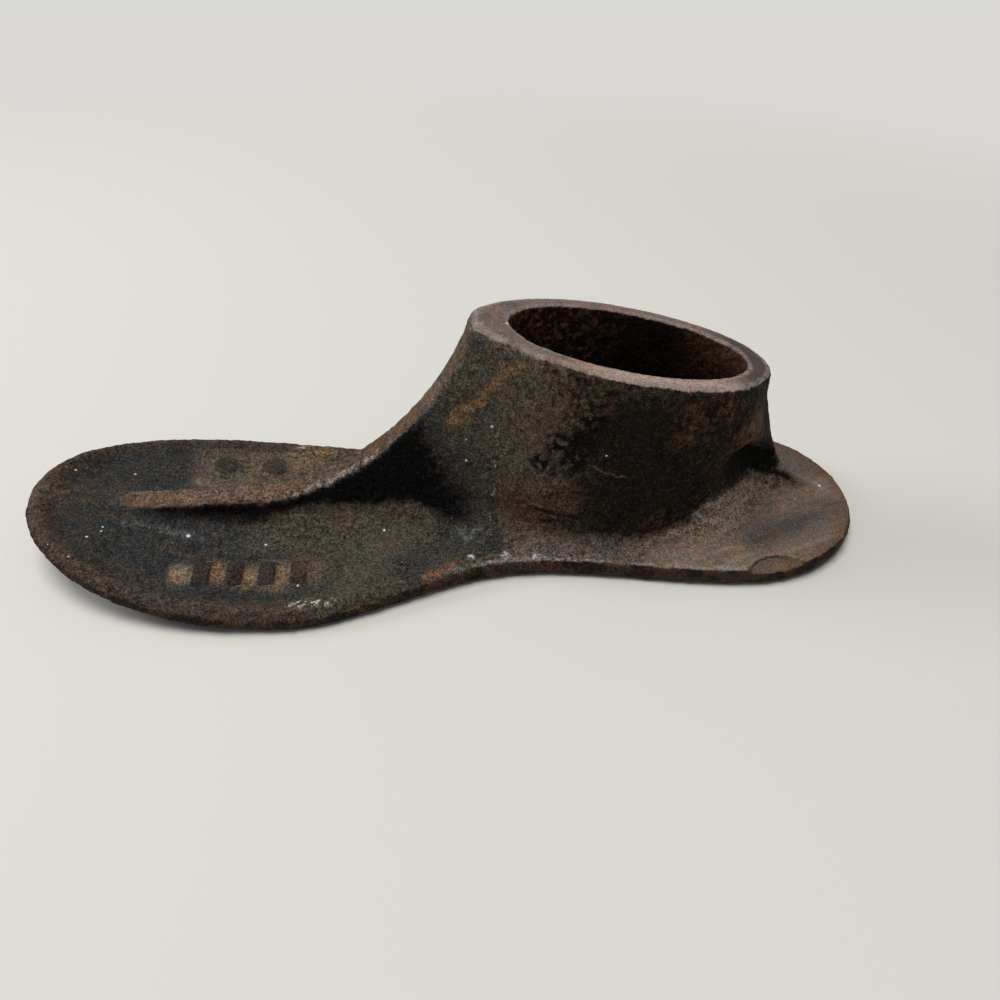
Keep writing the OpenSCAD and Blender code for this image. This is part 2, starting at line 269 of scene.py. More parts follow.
def plate_top(x):
    """Height of the sole plate's upper face."""
    spring = TOE_SPRING * np.maximum(0, (TOE_X + SPRING_L - x) / SPRING_L) ** 2
    return spring + DISH_T + (EDGE_T - DISH_T) * eased((x - PLATE_JOINT_X + DISH_RUN) / DISH_RUN)


def edge_distances(skin):
    """Each point's distance from the sole's outline, seen from above."""
    points = points_of(skin)
    lift = points[:, 2] - plate_top(points[:, 0])
    side = np.flatnonzero((np.abs(normals_of(skin)[:, 2]) < SIDE_FACING) & (lift < SIDE_LIFT))
    outline = kdtree.KDTree(len(side))
    for k in side:
        outline.insert((points[k, 0], points[k, 1], 0), int(k))
    outline.balance()
    return np.array([outline.find((x, y, 0))[2] for x, y in points[:, :2].tolist()])


def weather_skin(skin, edge):
    """Eases the soft places and roughens the rest, with a smoother heel and a nearly smooth rim."""
    points = points_of(skin)
    facing_up = normals_of(skin)[:, 2]
    lift = points[:, 2] - plate_top(points[:, 0])
    along = points[:, 0]
    aside = np.abs(points[:, 1])
    soft = np.zeros(len(points))
    for middle, reach, share in SOFT_PLACES:
        away = np.linalg.norm(points - np.array(middle), axis=1)
        soft = np.maximum(soft, share * eased(SOFT_EDGE * (1 - away / reach)))
    lip = ramp(edge, *LIP_WIDTH) * ramp(lift, *LIP_FROM) * ramp(lift, *LIP_TO) * (along < PLATE_JOINT_X)
    soft = np.maximum(soft, LIP_SOFT * lip)
    top = ramp(facing_up, *FACING_UP)
    rim = top * (lift > RIM_LIFT)
    heel = top * ramp(along, *HEEL_FROM_X) * (lift < HEEL_LIFT)
    beside = ramp(aside, *MARK_ROW_NEAR) * ramp(aside, *MARK_ROW_FAR)
    marks = beside * ramp(along, *MARK_ROW_START) * ramp(along, *MARK_ROW_END) * (lift > MARK_LIFT)
    rough = (1 - (1 - RIM_ROUGH) * rim) * (1 - (1 - HEEL_ROUGH) * heel) * (1 - (1 - MARK_ROUGH) * marks)
    grown = points + soft[:, None] * (broad_points(skin, SOFT_PASSES) - points)
    grown += rough[:, None] * (rough_points(skin) - points)
    grown[:, 2] = np.maximum(grown[:, 2], 0)
    set_points(skin, grown * MM)


def chip_heel(skin):
    """Knocks a shallow crescent flake off the heel's outer edge."""
    points = points_of(skin)
    inside = CHIP_R - np.hypot(points[:, 0] - CHIP_MIDDLE[0], points[:, 1] - CHIP_MIDDLE[1])
    step = np.clip(inside / CHIP_EASE, 0, 1) * CHIP_STEP + np.maximum(inside, 0) * CHIP_FALL
    points[:, 2] -= step * eased((points[:, 2] - EDGE_T + CHIP_REACH) / CHIP_REACH)
    set_points(skin, points * MM)


def store(mesh, name, values):
    layer = mesh.attributes.new(name, "FLOAT", "POINT")
    layer.data.foreach_set("value", values.astype(np.float32))


def mark_skin(skin, edge):
    """Stores what the finish needs to know of each point: how far it lies below the broad form, with edges
    below 0, its height above the sole plate and its distance from the sole's outline."""
    points = points_of(skin)
    store(skin, "hollow", ((broad_points(skin, BROAD_PASSES) - points) * normals_of(skin)).sum(axis=1))
    store(skin, "lift", points[:, 2] - plate_top(points[:, 0]))
    store(skin, "edge", edge)


def flattened(skin):
    """The skin with the sole plate's upper face brought to height 0."""
    points = points_of(skin)
    points[:, 2] -= plate_top(points[:, 0])
    flat = skin.copy()
    set_points(flat, points)
    shape = bmesh.new()
    shape.from_mesh(flat)
    bpy.data.meshes.remove(flat)
    return shape


def part_off(shape, place, away):
    """Takes off the side of the plane that away points to, and closes the cut with a flat face."""
    geometry = shape.verts[:] + shape.edges[:] + shape.faces[:]
    cut = bmesh.ops.bisect_plane(shape, geom=geometry, dist=SNAP, plane_co=place, plane_no=away,
                                 clear_outer=True)
    rim = [part for part in cut["geom_cut"] if isinstance(part, bmesh.types.BMEdge)]
    cap = bmesh.ops.triangle_fill(shape, edges=rim, use_beauty=True, normal=away)
    for edge in rim:
        edge.smooth = False
    for part in cap["geom"]:
        if isinstance(part, bmesh.types.BMFace):
            part.smooth = False


def slab(shape, start, end):
    """Copy of the shape between two places along its length."""
    part = shape.copy()
    if start is not None:
        part_off(part, (start, 0, 0), (-1, 0, 0))
    if end is not None:
        part_off(part, (end, 0, 0), (1, 0, 0))
    return part


def islands(shape):
    """Groups of faces that hang together, largest first."""
    left = set(shape.faces)
    groups = []
    while left:
        front = [left.pop()]
        group = set(front)
        while front:
            near = {other for edge in front.pop().edges for other in edge.link_faces} & left
            left -= near
            group |= near
            front.extend(near)
        groups.append(group)
    return sorted(groups, key=len, reverse=True)


def kept(shape, faces):
    """Copy of the shape with only those faces."""
    shape.faces.index_update()
    places = {face.index for face in faces}
    part = shape.copy()
    part.faces.index_update()
    bmesh.ops.delete(part, geom=[face for face in part.faces if face.index not in places], context="FACES")
    return part


def mean_y(faces):
    return sum(face.calc_center_median().y for face in faces) / len(faces)


def part_casting(skin):
    """The skin parted into the casting's features, one closed shape for each node."""
    upper = flattened(skin)
    plate = upper.copy()
    part_off(plate, (0, 0, SEAM_LIFT), (0, 0, 1))
    part_off(upper, (0, 0, SEAM_LIFT), (0, 0, -1))
    body_faces, rim_faces, *small = islands(upper)
    crumbs = [group for group in small if abs(mean_y(group)) < MARKS_FROM_Y]
    marks = [group for group in small if abs(mean_y(group)) >= MARKS_FROM_Y]
    body = kept(upper, body_faces.union(*crumbs))
    shapes = {
        "forepart_plate": slab(plate, None, PLATE_JOINT_X),
        "heel_plate": slab(plate, PLATE_JOINT_X, None),
        "toe_rim": kept(upper, rim_faces),
        "instep_rib": slab(body, None, SOCKET_FRONT_X),
        "socket_wall": slab(body, SOCKET_FRONT_X, SOCKET_BACK_X),
        "heel_rib": slab(body, SOCKET_BACK_X, None),
        "outer_marks": kept(upper, set().union(*[g for g in marks if mean_y(g) < 0])),
        "inner_marks": kept(upper, set().union(*[g for g in marks if mean_y(g) > 0])),
    }
    for shape in (upper, plate, body):
        shape.free()
    return shapes


def casting_piece(node, shape):
    """Puts a feature back at its height and size, in place of its CAD node."""
    mesh = bpy.data.meshes.new(node)
    shape.to_mesh(mesh)
    shape.free()
    points = coordinates(mesh)
    points[:, 2] += plate_top(points[:, 0])
    set_points(mesh, points * MM)
    piece = new_object("cast_" + node, mesh)
    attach(piece, "root")
    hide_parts(node)
    return piece


class Finish:
    """A material written as short steps. Each step adds a node and returns its socket; places are in
    millimetres."""

    def __init__(self, name):
        self.material = bpy.data.materials.new(name)
        self.material.use_nodes = True
        self.tree = self.material.node_tree
        self.shader = self.tree.nodes["Principled BSDF"]
        spot = self.tree.nodes.new("ShaderNodeTexCoord")
        self.facing = self.split(spot.outputs["Normal"])
        self.place = self.vector("SCALE", spot.outputs["Object"], scale=1 / MM)
        self.x, self.y, self.z = self.split(self.place)
        self.colour = None

    def give(self, socket, value):
        if isinstance(value, bpy.types.NodeSocket):
            self.tree.links.new(value, socket)
        else:
            socket.default_value = value

    def split(self, vector):
        node = self.tree.nodes.new("ShaderNodeSeparateXYZ")
        self.give(node.inputs[0], vector)
        return node.outputs

    def vector(self, operation, first, second=None, scale=None):
        node = self.tree.nodes.new("ShaderNodeVectorMath")
        node.operation = operation
        self.give(node.inputs[0], first)
        if second is not None:
            self.give(node.inputs[1], second)
        if scale is not None:
            self.give(node.inputs["Scale"], scale)
        return node.outputs["Value" if operation in ("LENGTH", "DISTANCE", "DOT_PRODUCT") else "Vector"]

    def math(self, operation, first, second=0.0):
        node = self.tree.nodes.new("ShaderNodeMath")
        node.operation = operation
        self.give(node.inputs[0], first)
        self.give(node.inputs[1], second)
        return node.outputs[0]

    def times(self, *values):
        product = values[0]
        for value in values[1:]:
            product = self.math("MULTIPLY", product, value)
        return product

    def most(self, *values):
        largest = values[0]
        for value in values[1:]:
            largest = self.math("MAXIMUM", largest, value)
        return largest

    def plus(self, first, second):
        return self.math("ADD", first, second)

    def less(self, first, second):
        return self.math("SUBTRACT", first, second)

    def rest(self, value):
        return self.less(1.0, value)

    def rise(self, value, start, end):
        """0 up to the start, 1 from the end on, eased between; an end below the start falls instead."""
        node = self.tree.nodes.new("ShaderNodeMapRange")
        node.interpolation_type = "SMOOTHSTEP"
        self.give(node.inputs["Value"], value)
        low, high = min(start, end), max(start, end)
        self.give(node.inputs["From Min"], low)
        self.give(node.inputs["From Max"], high)
        self.give(node.inputs["To Min"], 0.0 if start < end else 1.0)
        self.give(node.inputs["To Max"], 1.0 if start < end else 0.0)
        return node.outputs[0]

    def between(self, value, start, full, fade, end):
        """Rises from the start to full, stays, and falls from fade to the end."""
        return self.times(self.rise(value, start, full), self.rise(value, end, fade))

    def cloud(self, size, detail, rough, place, output):
        node = self.tree.nodes.new("ShaderNodeTexNoise")
        self.give(node.inputs["Vector"], place)
        self.give(node.inputs["Scale"], 1 / size)
        self.give(node.inputs["Detail"], detail)
        self.give(node.inputs["Roughness"], rough)
        return node.outputs[output]

    def noise(self, size, detail=2.0, rough=0.5):
        """Cloudy value round 0.5 whose blotches have the given size."""
        return self.cloud(size, detail, rough, self.place, "Fac")

    def brushed(self, size, length, turn):
        """Cloudy streaks of the given width and length, turned about the upright."""
        node = self.tree.nodes.new("ShaderNodeMapping")
        node.vector_type = "TEXTURE"
        self.give(node.inputs["Vector"], self.place)
        self.give(node.inputs["Rotation"], (0.0, 0.0, math.radians(turn)))
        self.give(node.inputs["Scale"], (length / size, 1.0, 1.0))
        return self.cloud(size, 2.0, 0.5, node.outputs[0], "Fac")

    def wander(self, size, reach):
        """The place, pushed about so that what is laid there gets a ragged edge."""
        cloud = self.cloud(size, 3.0, 0.6, self.place, "Color")
        parts = self.tree.nodes.new("ShaderNodeSeparateColor")
        self.give(parts.inputs[0], cloud)
        whole = self.tree.nodes.new("ShaderNodeCombineXYZ")
        for into, part in zip(whole.inputs, parts.outputs):
            self.give(into, part)
        push = self.vector("SUBTRACT", whole.outputs[0], (0.5, 0.5, 0.5))
        return self.vector("ADD", self.place, self.vector("SCALE", push, scale=reach))

    def specks(self, size, width, share):
        """Scattered round specks: size of their cells, a speck's width in it and the share that has one."""
        node = self.tree.nodes.new("ShaderNodeTexVoronoi")
        self.give(node.inputs["Vector"], self.place)
        self.give(node.inputs["Scale"], 1 / size)
        pick = self.tree.nodes.new("ShaderNodeSeparateColor")
        self.give(pick.inputs[0], node.outputs["Color"])
        return self.times(self.rise(node.outputs["Distance"], width, width * 0.4),
                          self.math("LESS_THAN", pick.outputs[0], share))

    def attribute(self, name):
        node = self.tree.nodes.new("ShaderNodeAttribute")
        node.attribute_name = name
        return node.outputs["Fac"]

    def spot(self, middle, radius, soft=0.8, place=None):
        """1 round a point, falling to 0 at the radius."""
        return self.rise(self.vector("DISTANCE", place or self.place, middle), radius, radius * (1 - soft))

    def spots(self, places, soft, place=None):
        """1 round any of several points, each with its radius."""
        return self.most(*[self.spot(middle, radius, soft, place) for middle, radius in places])

    def stroke(self, start, end, width, place=None):
        """1 along a straight line, falling to 0 at half its width."""
        along = Vector(end) - Vector(start)
        away = self.vector("SUBTRACT", place or self.place, start)
        reach = self.math("DIVIDE", self.vector("DOT_PRODUCT", away, tuple(along)), along.length_squared)
        run = self.tree.nodes.new("ShaderNodeClamp")
        self.give(run.inputs[0], reach)
        foot = self.vector("SCALE", tuple(along), scale=run.outputs[0])
        return self.rise(self.vector("DISTANCE", away, foot), width / 2, 0.0)

    def line(self, points, width, place=None):
        """1 along a line through several points."""
        return self.most(*[self.stroke(a, b, width, place) for a, b in zip(points, points[1:])])

    def blend(self, amount, first, second, mode="MIX"):
        node = self.tree.nodes.new("ShaderNodeMix")
        node.data_type = "RGBA"
        node.blend_type = mode
        self.give(node.inputs[0], amount)
        self.give(node.inputs[6], first)
        self.give(node.inputs[7], second)
        return node.outputs[2]

    def lay(self, tone, *amounts, strength=None):
        """Covers the colour so far with a tone, as far as all the amounts and the strength together say."""
        if strength is not None:
            amounts += (strength,)
        self.colour = self.blend(self.times(*amounts), self.colour, tone)


class IronFinish(Finish):
    """The casting's finish: what its skin knows of each point, and the cloudy patterns of its rust."""

    def __init__(self, name):
        super().__init__(name)
        self.hollow = self.attribute("hollow")
        self.lift = self.attribute("lift")
        self.edge = self.attribute("edge")
        self.patch = self.noise(PATCH_SIZE, 3)
        self.blotch = self.noise(BLOTCH_SIZE, 4)
        self.mottle = self.noise(MOTTLE_SIZE, 4, 0.65)
        self.ragged = self.wander(RAGGED_SIZE, RAGGED_REACH)
        self.frayed = self.wander(FRAYED_SIZE, FRAYED_REACH)
        self.grain = self.noise(GRAIN_SIZE, 4, 0.78)
        self.fine = self.noise(FINE_SIZE, 2, 0.6)

    def mottled(self, start, end):
        return self.rise(self.mottle, start, end)

    def blotched(self, start, end):
        return self.rise(self.blotch, start, end)

    def uneven(self, value, reach):
        """The value, pushed up by the blotches, so that what it bounds gets an uneven edge."""
        return self.plus(value, self.times(self.blotch, reach))


def tint(red, green, blue):
    return (red, green, blue, 1.0)


# Colours of the iron and of what lies on it
BLACK_IRON = tint(0.029, 0.03, 0.031)
BROWN_FILM = tint(0.064, 0.045, 0.034)
EDGE_BROWN = tint(0.056, 0.041, 0.033)
SIDE_BROWN = tint(0.048, 0.030, 0.022)
UNDER_BROWN = tint(0.055, 0.035, 0.024)
OCHRE = tint(0.165, 0.115, 0.066)
FAR_RUST = tint(0.21, 0.14, 0.085)
GREY_DUST = tint(0.112, 0.088, 0.066)
MARK_IRON = tint(0.034, 0.027, 0.024)
TAN = tint(0.26, 0.195, 0.125)
TAN_RUST = tint(0.22, 0.145, 0.095)
OLIVE_FILM = tint(0.066, 0.058, 0.043)
BLUE_HAZE = tint(0.190, 0.205, 0.215)
ORANGE_RUST = tint(0.17, 0.095, 0.058)
WAIST_BROWN = tint(0.105, 0.082, 0.066)
# Painted highlight along the top of the near edge
LILAC_GREY_HIGHLIGHT = tint(0.110, 0.090, 0.088)
EDGE_SHINE = tint(0.26, 0.235, 0.23)
HEEL_BROWN = tint(0.225, 0.172, 0.135)
HEEL_DARK = tint(0.165, 0.126, 0.098)
HEEL_GREY = tint(0.086, 0.068, 0.061)
BLUE_GREY = tint(0.062, 0.058, 0.06)
RED_BROWN = tint(0.100, 0.046, 0.030)
CHIP_BROWN = tint(0.122, 0.09, 0.06)
WALL_GREY = tint(0.085, 0.067, 0.05)
# Near black of the wall further back, partly painted shade
WALL_BROWN_AND_SHADE = tint(0.0085, 0.0055, 0.0033)
WALL_RED = tint(0.070, 0.034, 0.018)
WALL_RUST = tint(0.150, 0.084, 0.050)
# Near black of the rib's flanks, partly painted shade
FLANK_BLACK_AND_SHADE = tint(0.002, 0.002, 0.002)
FLANK_GREY = tint(0.072, 0.063, 0.051)
# Soot, also laid as painted shade in hollows, pockets and corners
SOOT_AND_SHADE = tint(0.0018, 0.0015, 0.0013)
RIDGE_RUST = tint(0.130, 0.084, 0.060)
RIDGE_ORANGE = tint(0.145, 0.092, 0.06)
RIDGE_PINK = tint(0.185, 0.125, 0.098)
CREST_BROWN = tint(0.085, 0.058, 0.040)
CREASE_RUST = tint(0.19, 0.115, 0.065)
RIM_PINK = tint(0.190, 0.132, 0.110)
RIM_LILAC = tint(0.160, 0.125, 0.113)
RIM_DARK = tint(0.068, 0.051, 0.044)
BORE_RUST = tint(0.14, 0.06, 0.036)
# Painted light on the bore's back wall near its mouth
BORE_LIT_BROWN = tint(0.095, 0.050, 0.028)
# Painted shade deep in the bore
BORE_SHADE_BLACK = tint(0.008, 0.004, 0.0025)
DUST = tint(0.230, 0.180, 0.125)
GLINT = tint(0.3, 0.285, 0.26)
# Rim's near side: wear with a painted highlight
RIM_WEAR_AND_HIGHLIGHT = tint(0.42, 0.31, 0.265)
# Lip's crest: wear with a painted highlight
LIP_WEAR_AND_HIGHLIGHT = tint(0.075, 0.057, 0.047)
FINE_DARK = tint(0.5, 0.495, 0.49)
FINE_LIGHT = tint(1.6, 1.58, 1.54)
LIME = tint(0.700, 0.680, 0.630)
PIT = tint(0.35, 0.33, 0.32)
GRAIN_DARK = tint(0.45, 0.445, 0.44)
GRAIN_LIGHT = tint(1.6, 1.58, 1.54)
WARM = tint(1.09, 0.99, 0.9)
COLD = tint(0.93, 1.0, 1.04)

# Single patches of film, rust, dust, soot and painted shade: middle, radius and the share of it that fades
TOE_FILM = ((-90, 3.5, 11), 11, 0.9)
TOE_OCHRE = ((-96.5, 3, 13.5), 7, 0.9)
PIP_DUST = ((-64.5, 15, 6), 3, 0.8)
PIP_LIME = ((-40, 29.5, 5), 2.4, 0.8)
WAIST_BLACK = ((-13, -20, 5), 11, 0.8)
FOOT_BLACK = ((4, -14, 6), 9, 0.8)
CORNER_BLACK = ((-4, -13, 5.5), 8, 0.8)
CORNER_HAZE = ((1, -11, 6), 6, 0.9)
BALL_FLECK = ((-32, -30.6, 5), 1.8, 0.8)
FRONT_RUST = ((23, -16, 44), 9, 0.8)
FRONT_SOOT = ((16, -13.7, 27), 4, 0.6)
FLANK_SHADE_SPOT = ((-3, -6.5, 11), 7, 0.9)
RIM_CORNER = ((1.5, -3, 52), 6, 0.9)
CREST_PATCH = ((-14, MIDDLE_Y, 30), 8, 0.9)
FOOT_DUST = ((60, -16, 11), 13, 0.9)

# Single strokes of haze, rust, lime and creases: start, end and width
TROUGH_HAZE = ((-79, -3.5, 8.6), (-62, -7.5, 5.6), 4)
WAIST_RUST = ((-10.5, -24.6, 4.6), (-4.5, -21.6, 5), 4)
BALL_LIME = ((-39, -30.6, 4.8), (-35, -30.4, 4.8), 5)
LONG_CREASE = ((15, -13.3, 14), (26, -17, 13.4), 2)
SHORT_CREASE = ((16, -14, 11), (22.5, -16.2, 11.8), 1.8)
LOW_CREASE = ((0.5, -4.7, 37), (-3.5, -3.8, 32), 4.6)

# Fields of the raised marks: where each begins, is full, starts to fade and ends
PIPS_ALONG = (-70, -63, -42, -37)
PIPS_ASIDE = (9, 14, 27, 31)
BARS_ALONG = (-68, -66, -28, -26)
BARS_ASIDE = (-28, -26, -14, -12)

# White flecks and clusters of lime, with their radius
FLECKS = (
    ((-64.5, -7, 6), 0.6), ((-85.5, -10, 9.5), 0.4), ((-92, -15, 12), 0.3), ((-83, -6, 9), 0.3),
    ((-83, -7.5, 9), 0.3), ((-87, -18.5, 11), 0.3), ((-92.5, 13, 12), 0.4), ((-80, 15.5, 8), 0.4),
    ((-47, -9.5, 4), 0.4), ((-19.5, -8, 5.5), 0.4), ((-39, -24, 4), 0.4), ((0, -5, 28.5), 0.4),
    ((0, -5.5, 23), 0.4), ((5.5, -7, 33), 0.5), ((8.5, -9, 27), 0.3), ((29.5, -17.5, 31), 0.3),
    ((94, 2, 5), 0.5), ((9, 1, 54), 0.5),
)
LIME_CLUSTERS = (((0, -18.7, 5), 1.3), ((8, -18.8, 5), 1.6), ((15.5, -20, 5), 1.6))

# Tan dust between the bars, and rust beside the pips, with their radius
DUST_GAPS = (((-65, -20, 5), 5.5), ((-58, -19, 5), 6), ((-51, -20.5, 4), 6), ((-44, -20, 4), 7.5),
             ((-37, -19, 4), 6), ((-30, -20, 4), 5))
PIP_RUST = (((-37, 26, 4), 10), ((-30, 27, 4.6), 7))

# Rust and soot on the socket's wall, with their radius, then its scratch
WALL_RED_SPOTS = (((13, -12, 12), 13), ((21, -15.5, 19), 6))
WALL_RUST_SPOTS = (((57, -15, 40), 8), ((60, -13, 28), 7), ((44, -17.5, 10), 7), ((49, -17, 38), 10))
WALL_SOOT_SPOTS = (((24, -16.5, 34), 7), ((26, -17, 39), 5), ((22.5, -16, 29), 6), ((19, -15, 33), 5))
SCRATCH = ((26.3, -17, 28.5), (29.6, -17.6, 26.3), (35.7, -18.1, 25.3))

# Seam and rusty crease between the instep rib and the socket
SEAM = ((6.4, -7.6, 32), (6.4, -7.6, 14), (5.6, -9.5, 7.4))
RIM_CREASE = ((10.6, -10.7, 50.5), (6.4, -7.6, 45.2), (3.5, -5.8, 40.2), (2.2, -5.3, 37.7))

# Outer side of the heel rib: its buttress, the hollow with its radii, the groove and the streak
HEEL_BUTTRESS = (67, -8, 31)
HEEL_POCKETS = (((63, -8.5, 20.5), 6.5), ((69, -3, 18), 7), ((75, -1.2, 15.5), 6))
HEEL_GROOVE = ((76, -1, 13), (87, -0.6, 8.5))
HEEL_STREAK = ((67, -5, 44), (69.5, -3.6, 38), (70.2, -3.4, 33))

# Smear on the heel's top, and the streaks that run with it
SMEAR_START = (69, -18.5, 5)
SMEAR_BEND = (78, -14.5, 5)
SMEAR_END = (92, -7, 5)
STREAK_WIDTH = 1.4
STREAK_LENGTH = 14
STREAK_TURN = 21


def forepart(iron):
    """Black trough with brown mottling, a brown border, a lip with wear and a painted highlight, and an ochre
    toe.
    """
    iron.colour = iron.blend(iron.times(iron.blotched(0.48, 0.66), 0.45), BLACK_IRON, BROWN_FILM)
    iron.lay(EDGE_BROWN, iron.rise(iron.uneven(iron.edge, 9.0), 11.5, 7.5), strength=0.85)
    iron.lay(BROWN_FILM, iron.spot(*TOE_FILM, iron.ragged), iron.mottled(0.4, 0.6), strength=0.8)
    iron.lay(OCHRE, iron.spot(*TOE_OCHRE, iron.ragged), iron.mottled(0.4, 0.6), strength=0.8)
    # The lip's crest is lighter, partly wear and partly painted highlight
    lip = iron.times(iron.rise(iron.edge, 4, 2.5), iron.rise(iron.x, 0, -6), iron.rise(iron.lift, -0.8, 0))
    iron.lay(LIP_WEAR_AND_HIGHLIGHT, lip, iron.rise(iron.hollow, -0.04, -0.16), iron.mottled(0.35, 0.55), strength=0.7)
    iron.lay(BLUE_HAZE, iron.stroke(*TROUGH_HAZE, iron.frayed),
             iron.mottled(0.4, 0.6), strength=0.35)


def raised_marks(iron):
    """Dark worn bars with tan dust between them, and dusty pips with rust beside them."""
    low = iron.rise(iron.lift, 2.0, 1.2)
    raised = iron.rise(iron.lift, 0.4, 0.7)
    pips = iron.times(iron.between(iron.x, *PIPS_ALONG), iron.between(iron.y, *PIPS_ASIDE), low)
    iron.lay(GREY_DUST, pips, iron.mottled(0.3, 0.5), strength=0.85)
    iron.lay(FAR_RUST, iron.spots(PIP_RUST, 0.8, iron.frayed), iron.mottled(0.34, 0.5), strength=0.95)
    iron.lay(GREY_DUST, iron.spot(*PIP_DUST, iron.frayed))
    bars = iron.times(iron.between(iron.x, *BARS_ALONG), iron.between(iron.y, *BARS_ASIDE), low)
    dust = iron.blend(iron.blotched(0.42, 0.58), TAN, TAN_RUST)
    iron.lay(dust, bars, iron.spots(DUST_GAPS, 1.0, iron.frayed), iron.rest(raised), strength=0.9)
    iron.lay(MARK_IRON, iron.most(bars, pips), raised, strength=0.85)
    iron.lay(LIME, iron.spot(*PIP_LIME, iron.frayed), iron.mottled(0.5, 0.62), strength=0.5)


def waist(iron):
    """Olive trough between the ball and the socket, with a rusty edge, pale residue and a painted highlight
    along the near edge.
    """
    olive = iron.rise(iron.uneven(iron.x, 26.0), -32, -14)
    iron.lay(OLIVE_FILM, olive)
    early = iron.rise(iron.uneven(iron.x, 26.0), -48, -32)
    iron.lay(OLIVE_FILM, early, iron.between(iron.y, -15, -11, -3, 1), strength=0.8)
    strip = iron.rise(iron.uneven(iron.x, 14.0), 8, 20)
    iron.lay(WAIST_BROWN, strip)
    iron.lay(BLACK_IRON, iron.spot(*WAIST_BLACK, iron.ragged), strength=0.7)
    iron.lay(BLACK_IRON, iron.spot(*FOOT_BLACK, iron.ragged), strength=0.8)
    iron.lay(BLACK_IRON, iron.spot(*CORNER_BLACK, iron.frayed), strength=0.8)
    iron.lay(BLUE_HAZE, iron.spot(*CORNER_HAZE, iron.frayed), iron.mottled(0.46, 0.62), strength=0.45)
    # Painted highlight in lilac-grey along the top of the near edge
    near_strip = iron.times(iron.between(iron.x, 4, 14, 60, 70), iron.rise(iron.y, -8, -14))
    iron.lay(LILAC_GREY_HIGHLIGHT, near_strip, iron.between(iron.edge, 0.6, 1.6, 2.6, 5.5), strength=0.75)


def edges(iron):
    """Dark sides and underside, a near edge with wear and a painted highlight, rust at the waist and lime by
    the ball.
    """
    iron.lay(UNDER_BROWN, iron.rise(iron.facing[2], -0.5, -0.8))
    upright = iron.rise(iron.math("ABSOLUTE", iron.facing[2]), 0.9, 0.6)
    side = iron.times(upright, iron.rise(iron.lift, 0.1, -0.5))
    iron.lay(SIDE_BROWN, side)
    iron.lay(SOOT_AND_SHADE, side, iron.blotched(0.44, 0.58), strength=0.65)
    # Painted highlight along the worn near edge
    worn = iron.times(iron.rise(iron.hollow, -0.1, -0.3), iron.between(iron.lift, -0.6, -0.2, 1.0, 2.0))
    iron.lay(EDGE_SHINE, worn, iron.between(iron.x, -12, 2, 62, 74), iron.rise(iron.y, -6, -12),
             iron.blotched(0.3, 0.55), strength=0.75)
    iron.lay(ORANGE_RUST, iron.stroke(*WAIST_RUST, iron.frayed),
             iron.rise(iron.lift, -1.6, -0.6), iron.mottled(0.25, 0.5), strength=0.9)
    iron.lay(LIME, iron.most(iron.stroke(*BALL_LIME, iron.frayed),
                             iron.spot(*BALL_FLECK, iron.frayed)),
             iron.mottled(0.46, 0.6), strength=0.75)


def heel(iron):
    """Brown worn heel with a blue-grey smear, a red edge and the bare iron of its chip."""
    reach = iron.rise(iron.plus(iron.x, iron.times(iron.patch, 20.0)), 43, 65)
    flat = iron.rise(iron.lift, 14, 9)
    streaks = iron.brushed(STREAK_WIDTH, STREAK_LENGTH, STREAK_TURN)
    iron.lay(iron.blend(iron.rise(streaks, 0.35, 0.65), HEEL_DARK, HEEL_BROWN), reach, flat)
    iron.lay(HEEL_GREY, reach, flat, iron.rise(iron.y, 2, 9), strength=0.85)
    smear = iron.most(iron.stroke(SMEAR_START, SMEAR_BEND, 14, iron.frayed),
                      iron.stroke(SMEAR_BEND, SMEAR_END, 17, iron.frayed))
    iron.lay(BLUE_GREY, smear, iron.rise(iron.lift, 4, 2), iron.rise(streaks, 0.2, 0.55), strength=0.9)
    iron.lay(RED_BROWN, iron.rise(iron.uneven(iron.edge, 4.0), 8, 2), iron.rise(iron.x, 72, 86),
             iron.rise(iron.lift, 3, 1), strength=0.6)
    away = iron.plus(iron.vector("DISTANCE", iron.place, CHIP_MIDDLE + (EDGE_T,)),
                     iron.times(iron.less(iron.mottle, 0.5), 1.2))
    on_top = iron.times(iron.rise(iron.lift, -3.0, -2.0), iron.rise(iron.facing[2], 0.3, 0.6))
    bare = iron.times(iron.rise(away, CHIP_R, CHIP_R - 0.6), on_top)
    iron.lay(CHIP_BROWN, bare, iron.rise(iron.x, 78, 74), strength=0.85)
    iron.lay(HEEL_GREY, bare, iron.blotched(0.46, 0.6), strength=0.5)
    iron.lay(RED_BROWN, bare, iron.rise(iron.x, 72, 77), strength=0.5)
    iron.lay(SOOT_AND_SHADE, iron.between(away, CHIP_R - 0.5, CHIP_R - 0.25, CHIP_R, CHIP_R + 0.2), on_top,
             iron.rise(iron.x, 78, 72), strength=0.7)
    return iron.times(reach, iron.rise(iron.lift, 4, 2))


